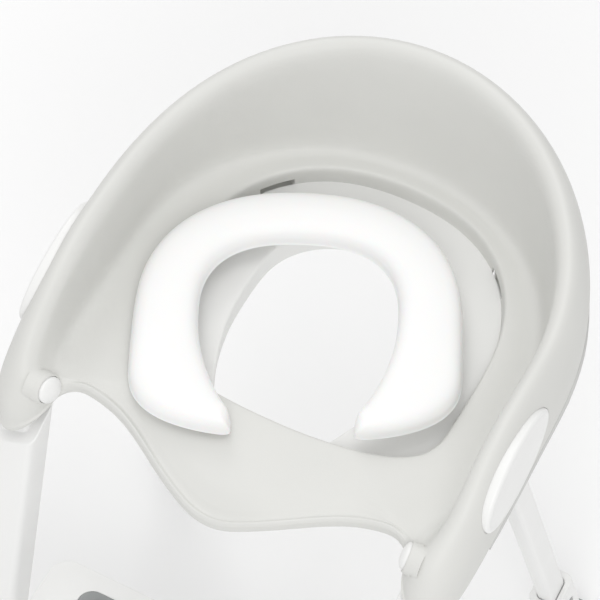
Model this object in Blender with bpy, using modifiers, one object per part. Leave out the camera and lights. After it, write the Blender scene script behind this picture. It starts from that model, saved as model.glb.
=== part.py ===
"""Potty training chair: a moulded seat shell with arms, a clipped-in seat ring, a loose soft
cushion, a front ladder with one step and two rear struts. Metres, +Z up, -Y is the front.

The origin is on the floor, under the middle of the chair. Shapes of the seat are described in
the seat's own frame, in millimetres from the middle of the ring's top face.
"""

import math

import bmesh
import bpy
from mathutils import Matrix, Vector

# ---------------------------------------------------------------- driving dimensions

MM = 0.001
SEAT_HEIGHT = 420.0  # top of the seat ring above the floor
SEAT_Y = 62.2  # the seat's reference point, behind the middle of the floor plan
WALL = 2.5  # moulded wall of the shell
GAP = 0.35  # between touching pieces

# Seat shell, in the seat frame
BOWL_Y = -10.0  # centre of the round back
RIM_R = 167.5  # inner edge of the rolled rim
SHOULDER_Z = 15.0
LEDGE_Z = -3.4  # the ledge that carries the ring
LEDGE_WIDTH = 7.0
RECESS_HALF = 124.5
RECESS_BACK = 131.0
RECESS_FRONT_Y = -62.0
RECESS_FRONT = 48.0
ROLL_WIDTH = 17.0
ROLL_HEIGHT = 7.0
FLANK_OUT = 26.0
SIDE_RIM_Z = 80.0
BACK_RIM_Z = 124.0
BACK_HEM_Z = 86.0
ARM_HEM_Z = 31.0
ARM_HEM_SLOPE = 0.225

# Hinges of the legs, in the seat frame (y, z), and their lean from the vertical
FRONT_PIVOT = (-168.0, 17.0)
BUTTON_RADIUS = 10.5
BUTTON_SLOPE_Y = -0.19  # how far the button's face leans to follow the arm, per unit of Y
BUTTON_SLOPE_Z = 0.245  # and per unit of Z
FRONT_LEAN = 15.7
REAR_PIVOT = (-81.0, 50.0)
REAR_LEAN = 17.8
FRONT_LEG_X = 169.5
REAR_LEG_X = 179.8
FOOT_HEIGHT = 18.0

COLLECTION = "potty_training_chair"


# ---------------------------------------------------------------- scene and small helpers


def clear_scene():
    for obj in list(bpy.data.objects):
        bpy.data.objects.remove(obj, do_unlink=True)


def make_collection(name, hidden=False):
    collection = bpy.data.collections.new(name)
    bpy.context.scene.collection.children.link(collection)
    collection.hide_render = hidden
    return collection


def material(name, colour, roughness, metallic=0.0):
    made = bpy.data.materials.new(name)
    made.use_nodes = True
    shader = made.node_tree.nodes["Principled BSDF"]
    shader.inputs["Base Color"].default_value = (*colour, 1.0)
    shader.inputs["Roughness"].default_value = roughness
    shader.inputs["Metallic"].default_value = metallic
    return made


def seat_point(x, y, z):
    """A point given in the seat frame, in millimetres, as a place in the chair's frame."""
    return Vector((x, y + SEAT_Y, z + SEAT_HEIGHT)) * MM


def add_object(name, mesh, finish, place=(0, 0, 0), lean=0.0, cutter=False):
    """Link a mesh as an object. Its origin goes to place, and it leans about X in degrees."""
    obj = bpy.data.objects.new(name, mesh)
    obj.location = place
    obj.rotation_euler = (math.radians(lean), 0, 0)
    if cutter:
        CUTTERS.objects.link(obj)
        obj.hide_render = True
        obj.display_type = "WIRE"
    else:
        PARTS.objects.link(obj)
        mesh.materials.append(finish)
    return obj


def mesh_from(bm, name, side=1):
    """Turn a bmesh in millimetres into a mesh in metres, mirrored in X when side is -1."""
    bmesh.ops.scale(bm, vec=(MM * side, MM, MM), verts=bm.verts)
    if side < 0:
        bmesh.ops.reverse_faces(bm, faces=bm.faces)
    mesh = bpy.data.meshes.new(name)
    bm.to_mesh(mesh)
    bm.free()
    mesh.shade_smooth()
    mesh.set_sharp_from_angle(angle=math.radians(35))
    return mesh


def grid(bm, rows, closed=False):
    """Skin rows of points with quads. Closed rows meet end to end."""
    made = [[bm.verts.new(point) for point in row] for row in rows]
    for row, following in zip(made, made[1:]):
        count = len(row)
        for i in range(count if closed else count - 1):
            k = (i + 1) % count
            bm.faces.new((row[i], row[k], following[k], following[i]))
    return made


def loft(rows):
    """A closed body through rings of points, with flat ends."""
    bm = bmesh.new()
    rings = grid(bm, rows, closed=True)
    bm.faces.new(rings[0])
    bm.faces.new(rings[-1])
    bmesh.ops.recalc_face_normals(bm, faces=bm.faces)
    return bm


def box(size, centre=(0, 0, 0)):
    bm = bmesh.new()
    bmesh.ops.create_cube(bm, size=1)
    bmesh.ops.scale(bm, vec=size, verts=bm.verts)
    bmesh.ops.translate(bm, vec=centre, verts=bm.verts)
    return bm


def cylinder_x(radius, start, end, y=0.0, z=0.0, segments=24, end_radius=None):
    """A round bar along X, or a cone when end_radius is given."""
    bm = bmesh.new()
    bmesh.ops.create_cone(
        bm, cap_ends=True, segments=segments, radius1=radius,
        radius2=radius if end_radius is None else end_radius, depth=end - start,
    )
    bmesh.ops.rotate(bm, verts=bm.verts, matrix=Matrix.Rotation(math.radians(90), 3, "Y"))
    bmesh.ops.translate(bm, verts=bm.verts, vec=((start + end) / 2, y, z))
    return bm


def bevel(obj, width, segments=2, angle=40):
    made = obj.modifiers.new("edges", "BEVEL")
    made.width = width * MM
    made.segments = segments
    made.limit_method = "ANGLE"
    made.angle_limit = math.radians(angle)


def solidify(obj, thickness):
    made = obj.modifiers.new("wall", "SOLIDIFY")
    made.thickness = thickness * MM
    made.offset = -1.0
    made.use_even_offset = True


def boolean(obj, operation, other):
    made = obj.modifiers.new(operation.lower(), "BOOLEAN")
    made.operation = operation
    made.object = other


def cut(obj, bm, place=(0, 0, 0), lean=0.0, side=1):
    tool = add_object(obj.name + "_cutter", mesh_from(bm, "cutter", side), None, place, lean, True)
    boolean(obj, "DIFFERENCE", tool)
    return tool


def join(obj, bm, place=(0, 0, 0), lean=0.0, side=1):
    tool = add_object(obj.name + "_joined", mesh_from(bm, "joined", side), None, place, lean, True)
    boolean(obj, "UNION", tool)
    return tool


def side_name(stem, side):
    return stem + ("_left" if side < 0 else "_right")


def mixed(a, b, share):
    return a + (b - a) * share


def smooth(share):
    share = min(max(share, 0.0), 1.0)
    return share * share * (3 - 2 * share)


# ---------------------------------------------------------------- curves


def spline(points, steps):
    """A centripetal Catmull-Rom curve through points, with steps pieces between neighbours."""
    ends = [points[0] * 2 - points[1]] + list(points) + [points[-1] * 2 - points[-2]]
    made = []
    for a, b, c, d in zip(ends, ends[1:], ends[2:], ends[3:]):
        before, between, after = ((q - p).length ** 0.5 for p, q in ((a, b), (b, c), (c, d)))
        leave = ((b - a) / before - (c - a) / (before + between)) * between + (c - b)
        arrive = (c - b) + ((d - c) / after - (d - b) / (between + after)) * between
        for i in range(steps):
            t = i / steps
            made.append(
                b * (2 * t**3 - 3 * t**2 + 1) + c * (3 * t**2 - 2 * t**3)
                + leave * (t**3 - 2 * t**2 + t) + arrive * (t**3 - t**2)
            )
    made.append(points[-1].copy())
    return made


def polar_superellipse(a, b, power, degrees):
    """The point of a superellipse in the direction of an angle."""
    c, s = math.cos(math.radians(degrees)), math.sin(math.radians(degrees))
    r = (abs(c / a) ** power + abs(s / b) ** power) ** (-1 / power)
    return Vector((r * c, r * s, 0.0))


def recess_back(degrees, inset=0.0):
    point = polar_superellipse(RECESS_HALF - inset, RECESS_BACK - inset, 2.35, degrees)
    return point + Vector((0, BOWL_Y, 0))


def recess_front(degrees, inset=0.0):
    point = polar_superellipse(RECESS_HALF - inset, RECESS_FRONT - inset, 2.4, -degrees)
    return point + Vector((0, RECESS_FRONT_Y, 0))


def hole_half_width(y):
    """Half-width of the seat opening, which narrows towards the front."""
    narrowing = 24.0 * (max(-15.0 - y, 0.0) / 85.0) ** 1.8
    return 72.0 - narrowing


# ---------------------------------------------------------------- seat shell


def rim_height(y):
    """Height of the rim's inner edge: level along the arms, rising to the back."""
    rise = max(y + BOWL_Y, 0.0) / 148.0
    fall = max(-60.0 - y, 0.0) / 137.0
    return SIDE_RIM_Z + (BACK_RIM_Z - SIDE_RIM_Z) * rise**1.2 - 92.0 * fall**1.87


def hem_height(y):
    """Height of the outer flank's lower edge."""
    level = ARM_HEM_Z - ARM_HEM_SLOPE * max(19.0 - y, 0.0)
    return mixed(level, BACK_HEM_Z, smooth((y - 50.0) / 140.0))


def side_features(foot, outward, lean):
    """Wall base, rim edge, roll crest, groove, flank and hem at one place along the rim."""
    z = rim_height(foot.y)
    hem = hem_height(foot.y)
    return [
        foot - outward * lean + Vector((0, 0, SHOULDER_Z + 1)),
        foot + Vector((0, 0, z)),
        foot + outward * (ROLL_WIDTH / 2) + Vector((0, 0, z + ROLL_HEIGHT)),
        foot + outward * ROLL_WIDTH + Vector((0, 0, z - 1)),
        foot + outward * FLANK_OUT + Vector((0, 0, mixed(hem, z, 0.5))),
        foot + outward * (FLANK_OUT - 0.5) + Vector((0, 0, hem)),
    ]


def lip_features(edge, x, y, z):
    """The rolled front edge between the arm noses, seen as a very low rim."""
    lip = Vector((x, y, z))
    normal = Vector((x * 0.3, -100.0, 0)).normalized()
    rise = SHOULDER_Z - z
    reach = mixed(1.0, 0.42, smooth((x - 100.0) / 34.0))
    drops = (
        (17 * reach, 0.42 * rise), (11 * reach, 0.2 * rise), (6.5 * reach, 0.06 * rise),
        (2.0, -1.4), (0, -5.4), (0, -9.0),
    )
    return [lip - normal * back + Vector((0, 0, up)) for back, up in drops]


# The arm's nose, from the outer flank round to the corner of the front lip: wall base, rim edge,
# crest, groove, flank and hem of each lofting station.
NOSE_STATIONS = (
    (
        (160.5, -120, 16), (168, -121, 60.5), (176, -122, 67),
        (185, -122, 60), (194, -120, 32), (193.5, -117, 0.5),
    ),
    (
        (157, -134, 16), (167.5, -139, 46.5), (175.5, -144, 51),
        (184.5, -148, 43), (193.5, -155, 17), (193, -158, -9),
    ),
    (
        (153.5, -142, 16), (165, -155, 37.5), (172, -164, 40),
        (181, -172, 30), (189, -181, 8), (188.5, -184, -17),
    ),
    (
        (151.5, -145.5, 16), (161, -167, 30), (166, -177, 29),
        (172, -187, 18), (175.5, -194, 2), (175, -195.5, -21),
    ),
    (
        (150.3, -148, 16), (155.5, -166, 26), (158, -177, 22),
        (161, -187, 9.5), (162.5, -193, -3), (162.5, -194, -17),
    ),
    (
        (148.8, -150.3, 16), (152, -160.5, 21.5), (150.7, -168.5, 17.5),
        (150, -175.5, 8.5), (151, -180.5, -1), (151.5, -181.5, -8),
    ),
    (
        (146.3, -150.5, 15.6), (149, -156, 16.5), (148.5, -161.3, 14.2),
        (147.9, -165.6, 8.5), (148, -168.6, 2), (148.2, -169.5, -2.5),
    ),
)
NOSE_CORNER = (
    (141.3, -149.3, 15), (144.3, -152.3, 15), (145.4, -155, 13.8),
    (145.5, -157.8, 10.2), (145.4, -159.8, 5.5), (145.4, -160.4, 1.5),
)
# Where the front lip runs, from the nose corner to the middle of the tongue.
LIP = ((134, -152.5, 15), (122, -152.5, 14), (108, -153.5, 10.5), (92, -158, 8), (72, -169, 6.5),
       (50, -183, 4.5), (30, -192.5, 0.5), (15, -198, -3.5), (0, -200, -5))


def shell_stations():
    """Every lofting station of the right half, as (recess edge, way into the recess, features)."""
    stations = []
    for degrees in (90, 78, 66, 54, 42, 30, 18, 6):
        outward = Vector((math.cos(math.radians(degrees)), math.sin(math.radians(degrees)), 0))
        foot = outward * RIM_R + Vector((0, BOWL_Y, 0))
        lean = 6.0 + 11.0 * smooth(degrees / 90)
        stations.append((recess_back(degrees), side_features(foot, outward, lean)))
    for y, corner in ((-25, None), (-45, None), (-62, 0.0), (-80, 4.5), (-101, 9.0)):
        edge = Vector((RECESS_HALF, y, 0)) if corner is None else recess_front(corner)
        stations.append((edge, side_features(Vector((RIM_R, y, 0)), Vector((1, 0, 0)), 6.0)))
    nose = [[Vector(point) for point in row] for row in (*NOSE_STATIONS, NOSE_CORNER)]
    for corner, row in zip((10.5, 12.5, 14, 15.5, 17, 18.5, 20, 23.5), nose):
        stations.append((recess_front(corner), row))
    for corner, lip in zip((27.5, 32, 37.5, 44, 52, 61, 71, 80.5, 90), LIP):
        edge = recess_front(corner)
        stations.append((edge, lip_features(edge, *lip)))
    return stations


def shell_section(edge, features, steps):
    """One section of the shell, from the ledge under the ring out to the hem."""
    base, rim, crest, groove, flank, hem = features
    middle_y = min(max(edge.y, RECESS_FRONT_Y + 25.0), BOWL_Y)
    inward = (Vector((0, middle_y, 0)) - edge).normalized()
    apart = Vector((base.x - edge.x, base.y - edge.y, 0))
    out = apart.normalized()
    guard = smooth((60.0 - edge.x) / 14.0) if edge.y < RECESS_FRONT_Y else 0.0
    ledge_in = edge + inward * mixed(LEDGE_WIDTH, 1.5, guard) + Vector((0, 0, mixed(LEDGE_Z, -24.0, guard)))
    ledge_root = edge + inward * mixed(0.6, 1.2, guard) + Vector((0, 0, mixed(LEDGE_Z, -8.0, guard)))
    fixed = [ledge_in, ledge_root, edge + Vector((0, 0, SHOULDER_Z - 2.0))]
    start = edge + out * 2.2 + Vector((0, 0, SHOULDER_Z))
    fillet_in = base - out * min(9.0, apart.length * 0.3)
    fillet_in.z = min(SHOULDER_Z, mixed(base.z, SHOULDER_Z, 0.45))
    middle = (start + fillet_in) / 2
    middle.z += 0.12 * (SHOULDER_Z - fillet_in.z)
    tall = smooth((rim.z - 17.0) / 20.0)
    shaped = [start, middle, fillet_in, base + Vector((0, 0, 2.5 * tall))]
    shaped.append(mixed(base, rim, 0.25) + out * 1.5 * tall)
    shaped += [mixed(base, rim, 0.72) + out * 0.6 * tall, rim, crest, groove, flank, hem]
    return fixed + spline(shaped, steps)


def mirrored(point):
    return Vector((-point.x, point.y, point.z))


def wall_directions(rows, rounds):
    """For each point of a half skin, the way out of it, eased so that tight rolls don't fold."""
    last_row, last = len(rows) - 1, len(rows[0]) - 1

    def around(table, i, j):
        before = table[i - 1][j] if i > 0 else mirrored(table[1][j])
        after = table[i + 1][j] if i < last_row else mirrored(table[i - 1][j])
        return before, after, table[i][max(j - 1, 0)], table[i][min(j + 1, last)]

    directions = []
    for i, row in enumerate(rows):
        made = []
        for j in range(last + 1):
            before, after, inner, outer = around(rows, i, j)
            made.append((outer - inner).cross(before - after).normalized())
        directions.append(made)
    for _ in range(rounds):
        directions = [
            [(sum(around(directions, i, j), Vector()) + row[j] * 3).normalized() for j in range(last + 1)]
            for i, row in enumerate(directions)
        ]
    return directions


def thickened(rows, thickness, rounds):
    """A half skin and its inner face, joined along the inner and outer borders, open at X = 0."""
    directions = wall_directions(rows, rounds)
    loops = []
    for row, ways in zip(rows, directions):
        inside = [point - way * thickness for point, way in zip(row, ways)]
        loops.append(row + inside[::-1])
    for loop in (loops[0], loops[-1]):
        for point in loop:
            point.x = 0.0
    bm = bmesh.new()
    grid(bm, loops, closed=True)
    bmesh.ops.reverse_faces(bm, faces=bm.faces)
    return bm


def build_seat_shell():
    rows = [shell_section(edge, features, 2) for edge, features in shell_stations()]
    bm = thickened(rows, WALL, 6)
    place = seat_point(0, 0, 0)
    shell = add_object("seat_shell", mesh_from(bm, "seat_shell"), SHELL_PLASTIC, place)
    half = shell.modifiers.new("other_half", "MIRROR")
    half.merge_threshold = 0.0001
    for side in (-1, 1):
        window = box((28, 12, 8.2), (0, 0, 0))
        bmesh.ops.rotate(window, verts=window.verts, matrix=Matrix.Rotation(math.radians(-45), 3, "Z"))
        bmesh.ops.translate(window, verts=window.verts, vec=(95.6, 83.6, 0.9))
        cut(shell, window, place, side=side)
        for collar in button_collars():
            join(shell, collar, place, side=side)
        cut(shell, cylinder_x(BUTTON_RADIUS + 0.4, 135, 166, *FRONT_PIVOT), place, side=side)
        cut(shell, oval_body(((-12.0, -GAP, 0.0), (8.0, -GAP, 0.0))), place, side=side)


def button_collars():
    """The collar moulded round the fold button: short below, where the leg swings, and deep above."""
    y, z = FRONT_PIVOT
    collar = cylinder_x(12.0, 143.0, 157.4, y, z, 48, 14.2)
    face = bmesh.ops.bisect_plane(
        collar, geom=[*collar.verts, *collar.edges, *collar.faces], plane_co=(148.6, y, z),
        plane_no=Vector((1.0, -BUTTON_SLOPE_Y, -BUTTON_SLOPE_Z)).normalized(), clear_inner=True,
    )
    edges = [item for item in face["geom_cut"] if isinstance(item, bmesh.types.BMEdge)]
    bmesh.ops.contextual_create(collar, geom=edges)
    arches = []
    for x, radius in ((157.0, 14.1), (163.5, 15.6)):
        turns = [math.radians(degrees) for degrees in range(10, 171, 10)]
        arc = [Vector((0, math.cos(turn), math.sin(turn))) * radius for turn in turns]
        arches.append([Vector((x, y, z)) + point for point in arc])
    return collar, loft(arches)


# ---------------------------------------------------------------- seat ring


def build_seat_ring():
    rows = []
    inset = 0.9
    for degrees in (90, 78, 66, 54, 42, 30, 18, 6):
        inner = polar_superellipse(72.0, 62.0, 2.2, degrees) + Vector((0, 13, 0))
        rows.append((recess_back(degrees, inset), inner))
    for y in (-25, -45):
        rows.append((Vector((RECESS_HALF - inset, y, 0)), Vector((hole_half_width(y + 16), y + 16, 0))))
    for corner, y in ((0, -44), (4.5, -55), (9, -66), (15.5, -77), (23.5, -86), (31, -95), (37, -102.4)):
        rows.append((recess_front(corner, inset), Vector((hole_half_width(y), y, 0))))
    made = []
    for outer, inner in rows:
        back = (outer - inner).normalized()
        down = Vector((0, 0, -1))
        made.append([
            outer, mixed(outer, inner, 0.5), inner + back * 3.0,
            inner + back * 0.8 + down * 0.8, inner + down * 3.0,
            inner + back * 1.0 + down * 14.0, inner + back * 2.5 + down * 27.0,
        ])
    bm = bmesh.new()
    grid(bm, made)
    for vert in bm.verts:
        if vert.co.x < 0.01:
            vert.co.x = 0.0
    ring = add_object("seat_ring", mesh_from(bm, "seat_ring"), RING_PLASTIC, seat_point(0, 0, 0))
    half = ring.modifiers.new("other_half", "MIRROR")
    half.merge_threshold = 0.0001
    solidify(ring, 2.6)
    for side in (-1, 1):
        tab = box((20, 12, 2.0), (0, 0, 0))
        bmesh.ops.rotate(tab, verts=tab.verts, matrix=Matrix.Rotation(math.radians(-45), 3, "Z"))
        bmesh.ops.translate(tab, verts=tab.verts, vec=(93.2, 81.2, -1.4))
        join(ring, tab, seat_point(0, 0, 0), side=side)
    return ring


# ---------------------------------------------------------------- cushion

CUSHION_AT = (-18.0, -25.0)
CUSHION_TURN = 26.0


def cushion_outline(inset=0.0):
    """The horseshoe as (outer, inner) pairs from the left tip round the back to the right tip."""
    half = []
    for degrees in (90, 75, 60, 45, 30, 15, 0):
        outer = polar_superellipse(123.5 - inset, 113.0 - inset, 2.3, degrees) + Vector((0, -5, 0))
        half.append((outer, polar_superellipse(74.5 + inset, 64.5 + inset, 2.6, degrees)))
    for degrees, y in ((0, -15), (6, -30), (14, -46), (24, -62), (36, -77), (50, -89), (60, -96)):
        outer = polar_superellipse(123.5 - inset, 58.0 - inset, 3.0, -degrees) + Vector((0, -50, 0))
        inner = Vector((74.5 + inset - 32.5 * (max(-y, 0) / 98.0) ** 1.95, y, 0))
        half.append((outer, inner))
    other = [(Vector((-a.x, a.y, 0)), Vector((-b.x, b.y, 0))) for a, b in half[:0:-1]]
    return other + half


def horseshoe(bottom, top, inset, crown):
    """A closed horseshoe body with rounded upper edges."""
    rings = []
    for outer, inner in cushion_outline(inset):
        across = inner - outer
        profile = ((0.0, bottom), (-0.0, mixed(bottom, top, 0.45)), (0.05, mixed(bottom, top, 0.8)),
                   (0.16, top), (0.5, top + crown), (0.84, top), (0.95, mixed(bottom, top, 0.8)),
                   (1.0, mixed(bottom, top, 0.45)), (1.0, bottom))
        rings.append([outer + across * share + Vector((0, 0, z)) for share, z in profile])
    return loft(rings)


def build_cushion():
    place = seat_point(*CUSHION_AT, SHOULDER_Z + 0.5)
    for name, finish, bm in (
        ("cushion_base", WHITE_PLASTIC, horseshoe(0.0, 2.6, 6.0, 0.0)),
        ("cushion_pad", CUSHION_FOAM, horseshoe(3.0, 19.5, 0.0, 1.6)),
    ):
        obj = add_object(name, mesh_from(bm, name), finish, place)
        obj.rotation_euler = (0, 0, math.radians(CUSHION_TURN))


# ---------------------------------------------------------------- arm covers and caps


def build_arm_cover(side):
    """The strip that closes an arm from below, with a slot that the rear strut swings in."""
    feet = [(Vector((RIM_R, y, 0)), Vector((1, 0, 0))) for y in (-122, -100, -78, -56, -34, -10)]
    for degrees in (8, 16, 24, 32):
        outward = Vector((math.cos(math.radians(degrees)), math.sin(math.radians(degrees)), 0))
        feet.append((outward * RIM_R + Vector((0, BOWL_Y, 0)), outward))
    rows = []
    for foot, outward in feet:
        top = hem_height(foot.y) - 1.0
        low = top - mixed(5.0, 8.0, smooth((foot.y + 122.0) / 22.0))
        corners = ((1.6, top), (24.2, top), (FLANK_OUT - 0.6, top - 1.2), (FLANK_OUT - 0.6, low), (1.6, low))
        rows.append([foot + outward * offset + Vector((0, 0, z)) for offset, z in corners])
    name = side_name("arm_cover", side)
    cover = add_object(name, mesh_from(loft(rows), name, side), COVER_PLASTIC, seat_point(0, 0, 0))
    slot = box((19.0, 68.0, 60.0), (REAR_LEG_X, -49.5, 10.0))
    cut(cover, slot, seat_point(0, 0, 0), side=side)


def oval_body(profile):
    """An oval body across the flank, from (out, less, deeper) rings: less shrinks the oval,
    and deeper takes its upper edge further into the arm."""
    rings = []
    for out, less, deeper in profile:
        turns = [math.tau * i / 32 for i in range(32)]
        rings.append([
            Vector((
                out - deeper * max(math.sin(turn), 0.0),
                (51.0 - less) * math.cos(turn), (27.0 - less) * math.sin(turn),
            ))
            for turn in turns
        ])
    bm = loft(rings)
    tilt = Matrix.Rotation(math.radians(-4.5), 3, "Y") @ Matrix.Rotation(math.radians(14.0), 3, "X")
    bmesh.ops.rotate(bm, verts=bm.verts, matrix=tilt)
    bmesh.ops.translate(bm, verts=bm.verts, vec=(191.0, -83.0, 46.0))
    return bm


def build_pivot_cap(side):
    """A cover over the rear hinge: a skirt that plugs into the flank, and a bevelled oval face."""
    name = side_name("pivot_cap", side)
    skirt = ((-1.8, 16.0, 0.0), (-1.8, 2.8, 0.0), (-3.8, 2.4, 3.0), (-3.8, 0.0, 3.0))
    face = ((0.9, 0.0, 0.0), (2.2, 0.9, 0.0), (3.0, 2.6, 0.0), (3.2, 6.0, 0.0))
    add_object(name, mesh_from(oval_body(skirt + face), name, side), WHITE_PLASTIC, seat_point(0, 0, 0))


def turned_x(profile, segments=24):
    """A body turned about the X axis from (x, radius) pairs."""
    rings = []
    for x, radius in profile:
        turns = [math.tau * i / segments for i in range(segments)]
        rings.append([Vector((x, radius * math.cos(turn), radius * math.sin(turn))) for turn in turns])
    return loft(rings)


# ---------------------------------------------------------------- hinge hardware


def build_front_hinge(side):
    """The domed release button, its spring and the steel pin that the leg turns on."""
    place = seat_point(0, *FRONT_PIVOT)
    name = side_name("fold_button", side)
    dome = ((143.4, 3.0), (143.8, 6.0), (144.8, 8.6), (146.2, 10.1), (147.6, BUTTON_RADIUS))
    button = turned_x((*dome, (153.0, BUTTON_RADIUS)))
    for vert in button.verts:
        if vert.co.x < 150.0:
            vert.co.x += BUTTON_SLOPE_Y * vert.co.y + BUTTON_SLOPE_Z * vert.co.z
    add_object(name, mesh_from(button, name, side), WHITE_PLASTIC, place)
    name = side_name("button_spring", side)
    add_object(name, mesh_from(coil(153.4, 161.4, 4.6, 0.5, 4), name, side), STEEL, place)
    name = side_name("front_pivot_pin", side)
    pin = turned_x(((163.0, 3.6), (163.6, 4.2), (183.8, 4.2), (184.4, 3.6)), 20)
    add_object(name, mesh_from(pin, name, side), STEEL, place)
    name = side_name("rear_pivot_pin", side)
    pin = turned_x(((171.0, 3.6), (171.6, 4.2), (184.0, 4.2), (184.6, 3.6)), 20)
    add_object(name, mesh_from(pin, name, side), STEEL, seat_point(0, *REAR_PIVOT))


def coil(start, end, radius, wire, turns):
    """A compression spring about the X axis, as one closed tube."""
    count = turns * 9
    rings = []
    for i in range(count + 1):
        turn = math.tau * turns * i / count
        outward = Vector((0, math.cos(turn), math.sin(turn)))
        centre = outward * radius + Vector((mixed(start + wire, end - wire, i / count), 0, 0))
        along = Vector((1, 0, 0))
        rings.append([
            centre + (outward * math.cos(math.tau * k / 6) + along * math.sin(math.tau * k / 6)) * wire
            for k in range(6)
        ])
    return loft(rings)


# ---------------------------------------------------------------- legs

FRONT_WIDTH = 41.0
FRONT_DEPTH = 31.0
FRONT_TUBE_END = 392.0
REAR_WIDTH = 15.6
REAR_DEPTH = 22.0
REAR_TUBE_END = 440.0
SLEEVE_TOP = 376.0
LEG_WALL = 3.0


def leg_length(pivot, lean):
    """From a hinge down to the floor, along a leaning leg."""
    return (pivot[1] + SEAT_HEIGHT) / math.cos(math.radians(lean))


def flat_end(bm, lean, length):
    """Cut a leaning bar's lower end level, just above its foot."""
    direction = Vector((0, math.sin(math.radians(lean)), math.cos(math.radians(lean))))
    rise = (FOOT_HEIGHT + GAP) / math.cos(math.radians(lean))
    cut_at = bmesh.ops.bisect_plane(
        bm, geom=[*bm.verts, *bm.edges, *bm.faces], plane_co=(0, 0, rise - length),
        plane_no=direction, clear_inner=True,
    )
    edges = [item for item in cut_at["geom_cut"] if isinstance(item, bmesh.types.BMEdge)]
    bmesh.ops.contextual_create(bm, geom=edges)


def rounded_bar(width, depth, top, bottom, x, radius, corner_steps=3):
    """An upright bar with rounded corners, from top down to bottom."""
    outline = []
    for quarter, (sx, sy) in enumerate(((1, 1), (-1, 1), (-1, -1), (1, -1))):
        for i in range(corner_steps + 1):
            turn = math.radians(90 * quarter + 90 * i / corner_steps)
            corner = Vector((sx * (width / 2 - radius), sy * (depth / 2 - radius), 0))
            outline.append(corner + Vector((math.cos(turn), math.sin(turn), 0)) * radius)
    return loft([[point + Vector((x, 0, z)) for point in outline] for z in (bottom, top)])


def build_front_leg(side):
    """The ladder's upright: a narrow head in the arm's nose, then the wide tube below it."""
    place = seat_point(0, *FRONT_PIVOT)
    name = side_name("front_leg", side)
    tube = rounded_bar(FRONT_WIDTH, FRONT_DEPTH, -16.0, -FRONT_TUBE_END, FRONT_LEG_X, 7.0)
    slope = Vector((0.35, 0.86, 1.0)).normalized()
    sliced = bmesh.ops.bisect_plane(
        tube, geom=[*tube.verts, *tube.edges, *tube.faces], plane_co=(FRONT_LEG_X - 20, 0, -33.0),
        plane_no=(-slope.x * -1, -slope.y, slope.z), clear_outer=True,
    )
    edges = [item for item in sliced["geom_cut"] if isinstance(item, bmesh.types.BMEdge)]
    bmesh.ops.contextual_create(tube, geom=edges)
    bmesh.ops.recalc_face_normals(tube, faces=tube.faces)
    leg = add_object(name, mesh_from(tube, name, side), WHITE_PLASTIC, place, -FRONT_LEAN)
    join(leg, rounded_bar(24.4, 17.0, -9.0, -70.0, FRONT_LEG_X + 0.8, 4.0, 2), place, -FRONT_LEAN, side)
    join(leg, rounded_bar(18.8, 17.0, 0.0, -30.0, FRONT_LEG_X + 1.7, 2.0, 2), place, -FRONT_LEAN, side)
    join(leg, cylinder_x(8.5, FRONT_LEG_X - 7.7, FRONT_LEG_X + 11.1), place, -FRONT_LEAN, side)
    cut(leg, cylinder_x(4.2 + GAP, 162.6, 195.0, segments=20), place, -FRONT_LEAN, side)
    walls = 2 * LEG_WALL
    hollow = rounded_bar(FRONT_WIDTH - walls, FRONT_DEPTH - walls, -74.0, -500.0, FRONT_LEG_X, 4.0)
    cut(leg, hollow, place, -FRONT_LEAN, side)
    cut(leg, cylinder_x(6.5, 186.8, 192.0, 0, -330.0), place, -FRONT_LEAN, side)

    length = leg_length(FRONT_PIVOT, FRONT_LEAN)
    name = side_name("front_leg_extension", side)
    trim = 2 * (LEG_WALL + GAP)
    bar = rounded_bar(FRONT_WIDTH - trim, FRONT_DEPTH - trim, -300.0, -length - 10, FRONT_LEG_X, 3.6)
    flat_end(bar, -FRONT_LEAN, length)
    add_object(name, mesh_from(bar, name, side), WHITE_PLASTIC, place, -FRONT_LEAN)
    build_foot("front_foot", side, FRONT_PIVOT, -FRONT_LEAN, FRONT_LEG_X, (44.0, 40.0))
    build_lock_button("front_lock_button", side, place, -FRONT_LEAN, 189.0, 191.8, -330.0)


def build_rear_leg(side):
    """The strut behind the ladder, and the sleeve that slides on it to set the height."""
    place = seat_point(0, *REAR_PIVOT)
    name = side_name("rear_leg", side)
    bar = rounded_bar(REAR_WIDTH, REAR_DEPTH, 0.0, -REAR_TUBE_END, REAR_LEG_X, 4.0)
    leg = add_object(name, mesh_from(bar, name, side), WHITE_PLASTIC, place, REAR_LEAN)
    half = REAR_WIDTH / 2
    join(leg, cylinder_x(REAR_DEPTH / 2, REAR_LEG_X - half, REAR_LEG_X + half), place, REAR_LEAN, side)
    cut(leg, cylinder_x(4.2 + GAP, 165.0, 195.0, segments=20), place, REAR_LEAN, side)

    length = leg_length(REAR_PIVOT, REAR_LEAN)
    name = side_name("rear_leg_sleeve", side)
    bar = rounded_bar(27.0, 34.0, -SLEEVE_TOP, -length - 20, REAR_LEG_X, 7.0)
    flat_end(bar, REAR_LEAN, length)
    sleeve = add_object(name, mesh_from(bar, name, side), WHITE_PLASTIC, place, REAR_LEAN)
    hollow = rounded_bar(
        REAR_WIDTH + 2 * GAP, REAR_DEPTH + 2 * GAP, -300.0, -REAR_TUBE_END - 3, REAR_LEG_X, 4.0 + GAP,
    )
    cut(sleeve, hollow, place, REAR_LEAN, side)
    cut(sleeve, cylinder_x(6.5, 189.0, 196.0, 0, -408.0), place, REAR_LEAN, side)
    build_foot("rear_foot", side, REAR_PIVOT, REAR_LEAN, REAR_LEG_X, (30.0, 42.0))
    build_lock_button("rear_lock_button", side, place, REAR_LEAN, 191.0, 194.8, -408.0)


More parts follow.
